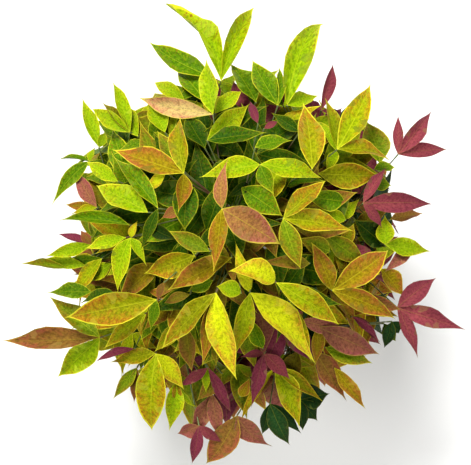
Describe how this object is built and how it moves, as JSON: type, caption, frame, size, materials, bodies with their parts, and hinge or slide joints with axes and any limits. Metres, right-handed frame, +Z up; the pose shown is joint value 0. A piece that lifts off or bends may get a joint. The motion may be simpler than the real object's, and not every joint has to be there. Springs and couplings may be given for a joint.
{
  "type": "heavenly bamboo shrub",
  "caption": "Compact evergreen shrub with a domed crown: a short flared stem, slender canes, and masses of compound leaves with long pointed leaflets.",
  "frame": {"origin": "centre of the flat cut under the short stem, at ground level", "axes": "+Z up along the stem; the picture was taken from nearly straight above, with its lower edge on the -Y side and its right edge on the +X side"},
  "size_m": [0.3622, 0.3619, 0.2934],
  "materials": {
    "stem_bark": "rough grey-brown bark with shallow furrows",
    "cane_bark": "tan bark with rings where old leaves fell",
    "leaves_lime": "semi-gloss lime and yellow-green leaflets",
    "leaves_green": "semi-gloss green leaflets with olive edges",
    "leaves_amber": "semi-gloss gold and amber leaflets",
    "leaves_rose": "semi-gloss tawny and rose leaflets",
    "leaves_young": "semi-gloss gold leaflets with burgundy young sprays"
  },
  "bodies": {
    "root": {"short_stem": "stem_bark", "cane_top": "cane_bark", "cane_east": "cane_bark", "cane_north_east": "cane_bark", "cane_north_west": "cane_bark", "cane_west": "cane_bark", "cane_south_west": "cane_bark", "cane_south_east": "cane_bark", "foliage_top": "leaves_lime", "foliage_east": "leaves_young", "foliage_north_east": "leaves_lime", "foliage_north_west": "leaves_green", "foliage_west": "leaves_green", "foliage_south_west": "leaves_amber", "foliage_south_east": "leaves_rose"}
  },
  "joints": []
}
